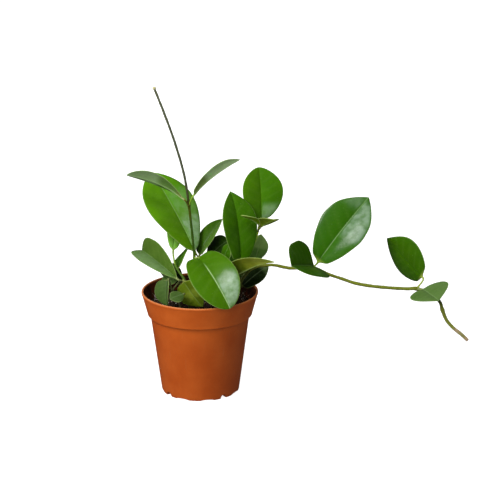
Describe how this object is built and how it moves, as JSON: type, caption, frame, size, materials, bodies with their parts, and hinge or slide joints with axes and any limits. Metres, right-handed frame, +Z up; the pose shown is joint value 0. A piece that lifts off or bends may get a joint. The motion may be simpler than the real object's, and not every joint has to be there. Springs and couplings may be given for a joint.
{
  "type": "potted hoya plant",
  "caption": "Climbing hoya houseplant with thick waxy leaves in opposite pairs, one long arching shoot and one bare upright shoot, in a tapered terracotta-coloured pot.",
  "frame": {"origin": "middle of the pot's base, on the surface that it stands on", "axes": "+Z up along the pot's axis, +X the way the long shoot reaches, -Y towards the front"},
  "size_m": [0.31, 0.1233, 0.283],
  "materials": {
    "pot": "satin moulded plastic, terracotta orange",
    "soil": "matt damp potting mix of peat and bark",
    "stem": "olive green skin with fine hairs, browner with age",
    "leaf": "waxy gloss above, paler and duller underneath"
  },
  "bodies": {
    "root": {"pot": "pot", "soil": "soil", "tall_stem": "stem", "right_stem": "stem", "long_vine": "stem", "left_stem": "stem", "centre_stem": "stem", "low_stem": "stem", "leaf_tall_1_back": "leaf", "leaf_tall_1_front": "leaf", "leaf_tall_2_left": "leaf", "leaf_tall_2_right": "leaf", "leaf_left_1_out": "leaf", "leaf_left_1_in": "leaf", "leaf_left_1_back": "leaf", "leaf_left_2_up": "leaf", "leaf_left_2_back": "leaf", "leaf_right_1_front": "leaf", "leaf_right_1_back": "leaf", "leaf_right_2_out": "leaf", "leaf_right_2_in": "leaf", "leaf_right_3_top": "leaf", "leaf_vine_1_up": "leaf", "leaf_vine_1_down": "leaf", "leaf_vine_2_up": "leaf", "leaf_vine_2_front": "leaf", "leaf_vine_3_up": "leaf", "leaf_vine_3_front": "leaf", "leaf_centre_2_left": "leaf", "leaf_centre_2_right": "leaf", "leaf_centre_2_back": "leaf", "leaf_centre_1_right": "leaf", "leaf_centre_1_back": "leaf", "leaf_low_left": "leaf", "leaf_low_front": "leaf", "leaf_low_right": "leaf"}
  },
  "joints": []
}
